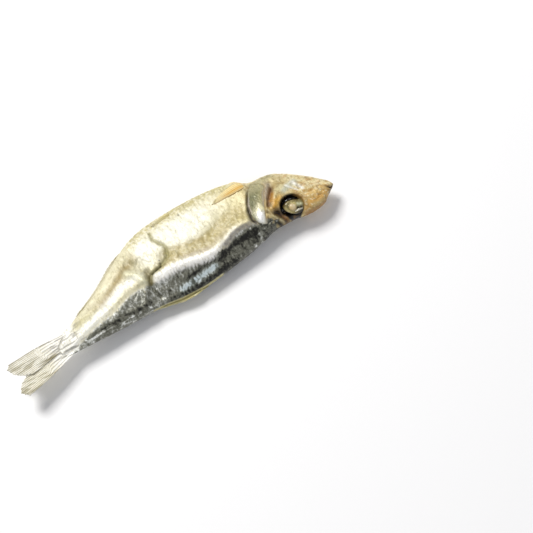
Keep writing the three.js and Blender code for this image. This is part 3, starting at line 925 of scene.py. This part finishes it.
# %% Body: finish
def skin_finish():
    skin = Finish("dried silver skin")
    tone = skin.attribute("tone", output="Color")
    dark = skin.attribute("dark")
    light = skin.attribute("light")
    wet = skin.attribute("wet")
    even = skin.stretched(1, 1, 1)
    fibres = skin.noise(skin.stretched(1, 0.25, 0.25), 0.62, detail=5, roughness=0.75)
    grit = skin.noise(even, 0.8, detail=6, roughness=0.85)
    glint = skin.noise(skin.stretched(0.7, 1.1, 1.1), 0.75, detail=5, roughness=0.8)
    scales = skin.node("ShaderNodeTexVoronoi", {"feature": "F1"}, Vector=even, Scale=1 / 0.9,
                       Randomness=0.7)
    # the light attribute carries painted highlights, a painted reflection and painted shade of the dark
    # back, besides its own streaks
    shade = light + (grit - 0.5) * 1.75 + (fibres - 0.5) * 0.9
    slate = skin.mix(shade.between(0.02, 0.45), inked("14130c"), inked("6f6f62"))
    slate = skin.mix(shade.between(0.45, 0.95), slate, inked("dadcd5"))
    # painted glints on the dark back
    slate = skin.mix((shade + glint - 0.5).between(0.75, 1.1) * 0.8, slate, inked("fbfcfa"))
    # blue tint of the painted reflection streak
    slate = skin.mix(skin.attribute("blue") * 0.7, slate, inked("c3d6e0"), blend="MULTIPLY")
    flank = skin.mix(fibres.between(0.5, 0.64) * 0.4, tone, inked("a99d70"), blend="MULTIPLY")
    flank = skin.mix(grit.between(0.52, 0.66) * 0.5, flank, inked("a39768"), blend="MULTIPLY")
    # painted glints on the pale flank
    flank = skin.mix(glint.between(0.54, 0.66) * 0.5, flank, inked("e6e2c8"), blend="OVERLAY")
    edge = dark + ((grit - 0.5) * 0.9 + (fibres - 0.5) * 0.7) * dark.between(0, 0.3)
    covered = edge.between(0.15, 0.75)
    relief = fibres * 0.7 + grit * 0.8 - scales * 0.15
    return skin.set(
        Base_Color=skin.mix(covered, flank, slate),
        Metallic=0.14 + covered * 0.3,
        Roughness=0.4 + fibres * 0.14 - covered * 0.08 - wet * 0.2,
        Coat_Weight=0.15 + wet * 0.5,
        Coat_Roughness=0.22,
        Normal=skin.bump(relief, 0.7, 0.18),
    )


shape, ring, turn = stretched_globe(BODY_RINGS, BODY_POINTS)
d, height, share, points = body_skin(ring, turn)
settle(shape, points)
colour, dark = trunk_colour(d, height, share, points)
head_colour(d, height, share, points, colour)
light, blue = band_tones(d, height, points)
from_eye = np.hypot(d - EYE[0], height - EYE[1])
tones = {
    "tone": colour,
    "dark": dark,
    "light": light,
    "blue": blue,
    "wet": 1 - ease(ORBIT_RADIUS - 0.6, ORBIT_RADIUS + 0.4, from_eye),
}
finish_piece("body_skin", shape, skin_finish(), ["body"], tones)

# %% [markdown]
# ## Gill covers
# A gill cover is a bent, pearly bone plate that is held at the cheek and free at its rear edge, where
# drying lifts it off the body. A flattened globe makes a closed plate with a rounded rim: one half of
# the globe is the outer face, the other half the inner one.

# %% Gill covers
COVER_THICKNESS = 0.4


def gill_cover(side, name):
    shape, ring, turn = stretched_globe(120, 160)
    out = np.sin(math.pi * ring)
    reach = out * cover_reach(turn)
    d = COVER_CENTRE[0] + reach * np.cos(turn)
    height = COVER_CENTRE[1] + reach * np.sin(turn)
    near = nearness(d, height)
    outer = np.where(ring < 0.5, 1, -1)
    swell = COVER_THICKNESS / 2 * np.sqrt(np.clip(1 - out ** 5, 0, 1)) * outer
    rear = ease(0.55, 1, out) * ease(-0.2, 0.6, np.cos(turn))
    front = 1 - ease(-0.5, 0.5, behind_cheek(d, height))
    lift = swell - 0.14 + 0.3 * rear - 1.1 * front
    knuckle = distance_to([(24.8, 2.2), (25.4, 0.8)], d, height)
    lift += 0.35 * bell(knuckle, 1.4)
    lift -= 0.22 * near([(18.6, 9.6), (20.6, 7), (22, 4)], 0.8)
    flat = on_skin(d, height, side, 0 * d)
    lift += 0.1 * grain(flat, 2.2, seed=11) + 0.06 * grain(flat, 0.7, seed=12)
    settle(shape, on_skin(d, height, side, lift))

    colour, wash = ground("86825a", len(d))
    cloud = patches(flat, 2.2, seed=13)
    streak = patches(flat * (0.4, 1.4, 1.4), 1, seed=14)
    wash("757a60", 0.8 * cloud)
    ahead = behind_cheek(d, height)
    wash("9a966a", 0.8 * bell(ahead - 1.6, 0.9) * (0.4 + 0.6 * streak))
    wash("c0b182", 0.7 * near([(19.4, 9), (22.6, 5), (23.6, 2)], 1.3) * cloud)
    wash("e9e6d2", 0.9 * near([(22.6, 1.2), (24.6, 1)], 1.2))
    wash("dcd6b4", 0.8 * near([(23.6, 4.4), (25.4, 3.6)], 1.2))
    # painted highlight on the knuckle at the cover's lower rear corner
    wash("ffffff", bell(knuckle, 1.2))
    wash("a5988a", 0.85 * (1 - ease(0.1, 1.5, ahead)) * band(5, 8, height))
    # painted light on the shaded slope of the cover's front edge
    wash("cfc3ad", 0.8 * bell(ahead - 0.1, 0.5))
    wash("b3a294", 0.35 * near([(18.2, 10.6), (18.6, 9), (20.2, 7)], 0.6))
    wash("8e8078", 0.7 * ease(0.86, 0.95, out) * band(5, 8, height))
    wash("a9a37e", 0.95 * ease(8.6, 11, height))
    wash("3c2a16", 0.9 * (ring > 0.5))
    tones = {"tone": colour, "metal": 0.25 + 0.45 * bell(knuckle, 1.8)}
    finish_piece(name, shape, plate_finish(name), [name], tones)


def plate_finish(name):
    plate = Finish(f"pearly bone, {name}")
    tone = plate.attribute("tone", output="Color")
    even = plate.stretched(1, 1, 1)
    mottle = plate.noise(even, 0.75, detail=6, roughness=0.8)
    lines = plate.noise(plate.stretched(1.3, 0.35, 1), 0.6, detail=4, roughness=0.7)
    colour = plate.mix(mottle.between(0.5, 0.62) * 0.5, tone, inked("a29a70"), blend="MULTIPLY")
    colour = plate.mix(lines.between(0.54, 0.64) * 0.4, colour, inked("e6e2c8"), blend="OVERLAY")
    return plate.set(
        Base_Color=colour,
        Metallic=plate.attribute("metal") * 0.6,
        Roughness=0.34 + mottle * 0.16,
        Coat_Weight=0.12,
        Coat_Roughness=0.2,
        Normal=plate.bump(mottle * 0.6 + lines * 0.5, 0.6, 0.14),
    )


for side, name in ((1, "gill_cover_left"), (-1, "gill_cover_right")):
    gill_cover(side, name)

# %% [markdown]
# ## Eyes
# A dried eye is a shrunken, clear olive skin over a hard white lens. The eyeball no longer fills its
# socket, so the deep socket's shade shows as a black crescent round it; that shade is painted, on the
# socket and on the ball's edge. Eyeball and lens are flattened globes that are turned to face out of
# the cheek.

# %% Eyes
EYEBALL_LENGTH = 7.3
EYEBALL_HEIGHT = 5.3
EYEBALL_ROLL = math.radians(32)
LENS_RADIUS = 1.2


def facing_out(d, height, side):
    """The skin point and the three directions there: along the fish, up the flank and outwards."""
    spot = np.array([d]), around_at(np.array([d]), np.array([height]), side)
    outward = Vector(skin_normal(*spot)[0])
    along_fish = Vector((-1, 0, 0))
    along_fish = (along_fish - along_fish.dot(outward) * outward).normalized()
    up_flank = outward.cross(along_fish) * -side
    return np.array(smooth_skin(*spot)[0]), np.array(along_fish), np.array(up_flank), np.array(outward)


def local_globe(rings, turns, length, height, roll, thickness, flatness):
    """A flattened globe as along, up and out distances in mm, and how far out each point is."""
    shape, ring, turn = stretched_globe(rings, turns)
    rim = np.sin(math.pi * ring)
    out = thickness * np.sign(np.cos(math.pi * ring)) * np.abs(np.cos(math.pi * ring)) ** flatness
    long_way = rim * length / 2 * np.cos(turn)
    short_way = rim * height / 2 * np.sin(turn)
    along = long_way * math.cos(roll) - short_way * math.sin(roll)
    up = long_way * math.sin(roll) + short_way * math.cos(roll)
    return shape, along, up, out, rim


def set_in_cheek(shape, side, along, up, out):
    """Moves a globe's points to the eye: along the fish, up the flank and out of the skin."""
    centre, along_fish, up_flank, outward = facing_out(*EYE, side)
    settle(shape, centre + along[:, None] * along_fish + up[:, None] * up_flank
           + out[:, None] * outward)


def eyeball(side, name):
    shape, along, up, out, rim = local_globe(
        84, 110, EYEBALL_LENGTH, EYEBALL_HEIGHT, EYEBALL_ROLL, thickness=1.1, flatness=0.8)
    along, up = along - 0.75, up - 0.3

    def spot(a, u, width):
        return bell(np.hypot(along - a, up - u), width)

    puckers = grain(np.stack([along, up, out], axis=-1), 1.1, seed=15)
    outer = out > 0
    out = out + outer * (0.2 * puckers - 0.3 * bell(np.hypot(along, up + 0.57) - 1.45, 0.3))
    out += outer * (0.35 * spot(-1.8, -0.65, 0.5) + 0.3 * spot(-2.6, -1, 0.45))
    out -= outer * (0.35 * spot(-1.36, -1.56, 0.35) + 0.35 * spot(-2.3, -1.8, 0.35))
    shaded = distance_to([(2.9, 1.9), (1.5, 2.5), (0.2, 2.6), (-1.4, 2.2), (-2.9, 1.5)], along, up)
    out -= outer * 0.9 * (1 - ease(0.5, 1.1, shaded))
    set_in_cheek(shape, side, along, up, out - 1.3)
    colour, wash = ground("7f7240", len(rim))
    wash("c2b478", 0.95 * bell(np.hypot(along - 0.5, up + 0.2) - 1.5, 0.5))
    wash("5c4d22", 0.85 * spot(2, 1.2, 1))
    # painted reflections on the glassy skin: pale glints on the two bumps, near black in the two
    # dimples
    wash("c9cba6", 0.95 * spot(-1.8, -0.65, 0.6) + 0.9 * spot(-2.7, -1, 0.5))
    wash("120b05", 0.97 * (spot(-1.36, -1.56, 0.42) + spot(-2.3, -1.85, 0.35)))
    near = nearness(along, up)
    wash("dfddd0", 0.9 * near([(-0.2, -2), (-1.4, -2.2), (-2.3, -2.35)], 0.22))
    wash("a8997c", 0.8 * near([(3, 0.9), (2.6, -0.6), (1.4, -1.9)], 0.25))
    # painted shade: black where the socket's rim shades the ball, above, below and at its end toward
    # the snout
    wash("4c3c20", 0.6 * ease(1.5, 0.9, shaded))
    wash("080402", ease(0.95, 0.7, shaded))
    wash("0a0603", 0.95 * near([(-1, -3), (-2.4, -2.9)], 0.5))
    wash("0d0804", ease(0.95, 0.99, rim) * ease(-3, -1.6, along))
    finish_piece(name, shape, eyeball_finish(name), [name], {"tone": colour})


def eyeball_finish(name):
    jelly = Finish(f"dried eye skin, {name}")
    mottle = jelly.noise(jelly.stretched(1, 1, 1), 0.5, detail=4)
    tone = jelly.attribute("tone", output="Color")
    return jelly.set(
        Base_Color=jelly.mix(mottle.between(0.4, 0.75) * 0.5, tone, inked("7d6c3c"), blend="MULTIPLY"),
        Roughness=0.26 + mottle * 0.16,
        Coat_Weight=0.35,
        Coat_Roughness=0.1,
        Normal=jelly.bump(mottle, 0.5, 0.15),
    )


def lens(side, name):
    shape, along, up, out, rim = local_globe(
        32, 48, 2 * LENS_RADIUS, 2 * LENS_RADIUS, 0, thickness=0.75, flatness=0.85)
    set_in_cheek(shape, side, along, up - 0.57, out - 0.62)
    colour, wash = ground("c9b486", len(rim))
    wash("a8966a", 0.8 * ease(0.8, 1, rim))
    wash("e6dcc0", 0.6 * bell(np.hypot(along + 0.3, up - 0.2), 0.5))
    finish_piece(name, shape, lens_finish(name), [name], {"tone": colour})


def lens_finish(name):
    bead = Finish(f"white lens, {name}")
    cloud = bead.noise(bead.stretched(1, 1, 1), 0.5, detail=3)
    tone = bead.attribute("tone", output="Color")
    return bead.set(
        Base_Color=bead.mix(cloud.between(0.4, 0.7) * 0.3, tone, inked("c9b386"), blend="MULTIPLY"),
        Roughness=0.32 + cloud * 0.1,
        Coat_Weight=0.3,
        Coat_Roughness=0.15,
        Normal=bead.bump(cloud, 0.25, 0.1),
    )


for side, end in ((1, "left"), (-1, "right")):
    eyeball(side, f"eyeball_{end}")
    lens(side, f"eye_lens_{end}")

# %% [markdown]
# ## Fins
# A fin is a fan of thin bony rays with a skin between them. Dried, the rays stand out as ribs and the
# skin between them tears at the free end, so that each ray ends at its own length. A flat grid takes
# its ribs from a wave across it, and the Solidify modifier then gives the sheet its thickness.

# %% Fin helper
def fin_grid(along_steps, across_steps):
    """A sheet as along (0 at the root, 1 at the free end) and across (0 to 1)."""
    shape = bmesh.new()
    bmesh.ops.create_grid(shape, x_segments=along_steps, y_segments=across_steps, size=1)
    co = numbers_of(shape)
    return shape, (co[:, 0] + 1) / 2, (co[:, 1] + 1) / 2


def ray_lengths(across, rays, fray, seed):
    """The share of its full length at which the fin ends, torn a little between the rays."""
    rng = np.random.default_rng(seed)
    ends = 1 - fray * rng.random(rays + 1)
    torn = np.interp(across * rays, np.arange(rays + 1), ends)
    return torn - fray * 0.7 * (0.5 - 0.5 * np.cos(2 * math.pi * across * rays))


def ribs(across, rays):
    return 0.5 + 0.5 * np.cos(2 * math.pi * across * rays)


def finish_fin(name, shape, tones, outward, thickness=0.22):
    """Faces are turned to the given side before the sheet gets its thickness."""
    # Moving the points left the normals stale, and each lobe is turned by its own.
    shape.normal_update()
    piece = finish_piece(name, shape, fin_finish(name), [name], tones)
    shape = bmesh.new()
    shape.from_mesh(piece.data)
    shape.normal_update()
    facing = sum((face.normal * face.calc_area() for face in shape.faces), Vector())
    if facing.dot(Vector(outward)) < 0:
        bmesh.ops.reverse_faces(shape, faces=shape.faces)
    shape.to_mesh(piece.data)
    shape.free()
    wall = piece.modifiers.new("membrane", "SOLIDIFY")
    wall.thickness = thickness * MM
    wall.offset = -1
    return piece


def fin_finish(name):
    fin = Finish(f"dry fin, {name}")
    tone = fin.attribute("tone", output="Color")
    rib = fin.attribute("rib")
    fleck = fin.noise(fin.stretched(1, 1, 1), 0.45, detail=5, roughness=0.7)
    return fin.set(
        Base_Color=fin.mix(fleck.between(0.4, 0.75) * 0.4, tone, inked("c9b07a"), blend="MULTIPLY"),
        Roughness=0.42 + fleck * 0.2,
        Coat_Weight=0.15,
        Coat_Roughness=0.3,
        Normal=fin.bump(rib * 0.8 + fleck * 0.4, 0.5, 0.12),
    )


# %% Paired fins
def paired_fin(name, side, spine, widths, lifts, rays, seed, colours):
    """A folded fin along a spine of (behind snout, height), from root to tip."""
    shape, along, across = fin_grid(70, 8 * rays)
    reach = along * ray_lengths(across, rays, 0.12, seed)
    steps = np.linspace(0, 1, len(spine))
    spine = np.array(spine, float)
    d = np.interp(reach, steps, spine[:, 0])
    height = np.interp(reach, steps, spine[:, 1])
    run = spine[-1] - spine[0]
    run /= np.linalg.norm(run)
    width = smooth_read(widths, reach) * (across - 0.5)
    d, height = d - run[1] * width, height + run[0] * width
    rib = ribs(across, rays)
    lift = smooth_read(lifts, reach) + 0.16 * rib * ease(0, 0.15, reach)
    lift += 0.14 * np.sin(math.pi * across) * ease(0, 0.3, reach)
    settle(shape, on_skin(d, height, side, lift))
    colour, wash = ground(colours[0], len(d))
    wash(colours[1], 0.6 * ease(0.35, 0.8, rib) * (1 - 0.6 * ease(0.5, 1, reach)))
    wash(colours[1], 0.8 * bell(across - 0.35, 0.2) * (1 - ease(0.5, 1, reach)))
    wash(colours[2], 0.75 * ease(0.45, 1, reach))
    wash(colours[3], 0.8 * bell(across - 0.02, 0.07))
    finish_fin(name, shape, {"tone": colour, "rib": rib}, (0, 0, side))


PECTORAL_COLOURS = ("f6eab4", "dfae48", "f2ecc8", "946a24")
PELVIC_COLOURS = ("ebe4ba", "c4b777", "efead0", "9c8f52")
for side, end, drop in ((1, "left", 0), (-1, "right", 1.6)):
    spine = [(23, 14.2 + drop), (26.4, 14.3 + drop), (30.6, 14.1 + drop), (35.4, 13.6 + drop)]
    paired_fin(f"pectoral_fin_{end}", side, spine, widths=[(0, 2.4), (0.35, 3), (0.75, 1.9), (1, 0.7)],
               lifts=[(0, -0.1), (0.15, 0.08), (0.7, 0.06), (1, -0.05)], rays=5, seed=21 + side,
               colours=PECTORAL_COLOURS)
    spine = [(46.8, 18.5), (49.6, 18.7), (54.2, 17.9)]
    paired_fin(f"pelvic_fin_{end}", side, spine, widths=[(0, 0.7), (0.4, 1.3), (1, 0.5)],
               lifts=[(0, -0.1), (0.3, 0.06), (1, 0)], rays=4, seed=25 + side, colours=PELVIC_COLOURS)


# %% [markdown]
# The fins on the back and the belly lie folded in a row of slanting rays along the edge of the body.

# %% Dorsal and anal fins
def edge_fin(name, start, end, outline, ray_height, lean, rays, seed, colours):
    """Rays along the edge of the body from start to end, each lying back by lean millimetres."""
    shape, along, across = fin_grid(18, 10 * rays)
    belly = outline is belly_line
    outward = 1 if belly else -1
    length = ray_lengths(across, rays, 0.2, seed)
    profile = ray_height * smooth_read([(0, 0.35), (0.12, 1), (0.5, 0.8), (1, 0.25)], across)
    reach = (along * 1.15 - 0.15) * length
    root = start + across * (end - start - lean)
    d = root + reach * lean
    turn = np.full(len(d), math.pi if belly else 0.0)
    points = smooth_skin(d, turn)
    points[:, 1] += outward * (reach * profile)
    rib = ribs(across, rays)
    points[:, 2] += 0.12 * rib + 0.25 * reach * np.sin(across * 9)
    settle(shape, points)
    colour, wash = ground(colours[0], len(d))
    wash(colours[1], 0.9 * ease(0.3, 0.8, rib))
    wash(colours[2], 0.8 * ease(0.6, 1, along))
    finish_fin(name, shape, {"tone": colour, "rib": rib}, (0, 0, 1), thickness=0.24)


edge_fin("dorsal_fin", 49.4, 65, back_line, ray_height=1, lean=4.2, rays=15, seed=31,
         colours=("e9e2b0", "bdb574", "f0ecca"))
edge_fin("anal_fin", 66.8, 87.6, belly_line, ray_height=0.95, lean=2.6, rays=19, seed=33,
         colours=("f0ecd8", "cfc7a2", "e0dccb"))

# %% [markdown]
# ## Tail fin
# The tail fin has two lobes of long branching rays. On this fish the belly-side lobe dried over the
# edge of the other one. Both are made as one fan: each lobe is a sheet of its own, and the upper one
# is lifted a little where they cross.

# %% Tail fin
TAIL_START = 92.2
TAIL_ROOT_HEIGHT = 6.4
TAIL_TILT = math.radians(-8)
TAIL_SPREAD = math.radians(7)
TAIL_REACH = 20.4


def tail_lobe(first, last, lift, reaches, seed):
    """One lobe between two shares of the fin's height, -0.5 at the back and 0.5 at the belly."""
    rays = 6
    shape, along, across = fin_grid(100, 20 * rays)
    share = first + (last - first) * across
    reach = TAIL_REACH * smooth_read(reaches, across) * ray_lengths(across, rays, 0.03, seed)
    out = along * reach
    turn = TAIL_SPREAD * 2 * share + TAIL_TILT
    root = (back_line(np.array([97.0])) + belly_line(np.array([97.0])))[0] / 2
    d = TAIL_START + out * np.cos(turn)
    height = root + TAIL_ROOT_HEIGHT * share * (1 + 0.12 * bell(along - 0.5, 0.4)) + out * np.sin(turn)
    rib = ribs(across, rays * (1 + ease(0.45, 0.55, along)))
    z = middle_height(d) + lift * ease(0.1, 0.6, along) + 0.18 * rib * ease(0.1, 0.3, along)
    flat = np.stack([d, height, z], axis=-1)
    z = z + 0.35 * grain(flat * (0.5, 1, 1), 4, seed) * ease(0.2, 0.9, along)
    settle(shape, np.stack([SNOUT_X - d, LINE_Y + height, z], axis=-1))
    return shape, along, across, rib, flat


def tail_colour(along, across, rib, flat, inner):
    colour, wash = ground("fffef6", len(along))
    streak = patches(flat * (0.13, 1.6, 1), 1, seed=41)
    cloud = patches(flat, 2, seed=42)
    fan = ease(0.3, 0.42, along)
    wash("e6dfbd", (0.2 + 0.35 * inner) * fan * cloud)
    wash("a39a6c", 0.3 * ease(0.4, 0.85, 1 - rib) * fan)
    wash("8f865a", 0.5 * fan * ease(0.54, 0.68, streak))
    wash("756a38", 0.8 * bell(np.abs(across - inner) - 0.02, 0.16) * bell(along - 0.48, 0.16))
    wash("8d8a80", 0.6 * (1 - fan) * ease(0.54, 0.68, streak))
    wash("9c9474", 0.4 * ease(0.84, 1, along) * ease(0.35, 0.6, cloud))
    wash("8f8870", 0.5 * bell(across - (1 - inner), 0.05) * fan)
    return colour


def join(first, second):
    """Adds the second shape to the first one."""
    spare = bpy.data.meshes.new("lobe")
    second.to_mesh(spare)
    first.from_mesh(spare)
    second.free()
    bpy.data.meshes.remove(spare)


BELLY_RAYS = [(0, 0.72), (0.3, 0.87), (0.75, 0.98), (1, 0.94)]
BACK_RAYS = [(0, 0.9), (0.25, 0.98), (0.5, 0.97), (0.75, 0.84), (1, 0.7)]
belly_lobe, *belly_parts = tail_lobe(-0.08, 0.5, 0.35, BELLY_RAYS, 51)
back_lobe, *back_parts = tail_lobe(-0.5, 0.1, -0.1, BACK_RAYS, 53)
tail_tone = np.vstack([tail_colour(*belly_parts, inner=0), tail_colour(*back_parts, inner=1)])
tail_rib = np.concatenate([belly_parts[2], back_parts[2]])
join(belly_lobe, back_lobe)
finish_fin("tail_fin", belly_lobe, {"tone": tail_tone, "rib": tail_rib}, (0, 0, 1),
           thickness=0.3)

# %% [markdown]
# ## Size
# Both boxes are printed: that of the measured model and that of the fish as it looks.

# %% Sizes and finish
def corners(box):
    return [[round(float(v), 5) for v in corner] for corner in box]


{"measured": corners(measured_box), "visual": corners(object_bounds())}
print("measured", corners(measured_box), "visual", corners(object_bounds()))
